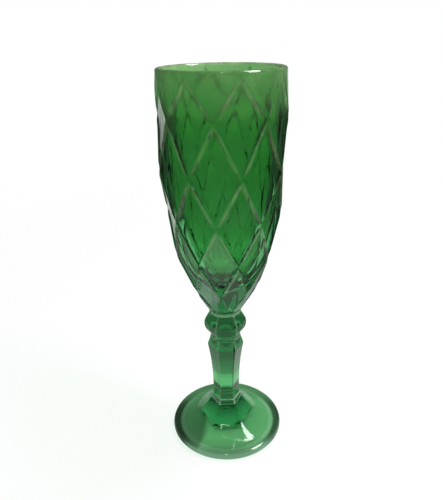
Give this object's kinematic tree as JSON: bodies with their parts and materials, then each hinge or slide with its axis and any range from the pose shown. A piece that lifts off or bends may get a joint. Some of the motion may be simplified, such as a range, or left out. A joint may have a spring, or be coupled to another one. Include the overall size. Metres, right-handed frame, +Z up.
{
  "type": "champagne flute",
  "caption": "Green pressed-glass champagne flute: diamond-facet bowl on a faceted knop, six-sided stem and round petalled foot.",
  "frame": {"origin": "centre of the ring that the foot stands on", "axes": "+Z up along the axis of the glass, from the foot to the mouth"},
  "size_m": [0.0642, 0.0642, 0.205],
  "materials": {
    "green_glass": "clear green soda-lime glass, pressed and fire-polished"
  },
  "bodies": {
    "root": {"foot": "green_glass", "collar": "green_glass", "stem": "green_glass", "knop": "green_glass", "merese": "green_glass", "bowl": "green_glass"}
  },
  "joints": []
}
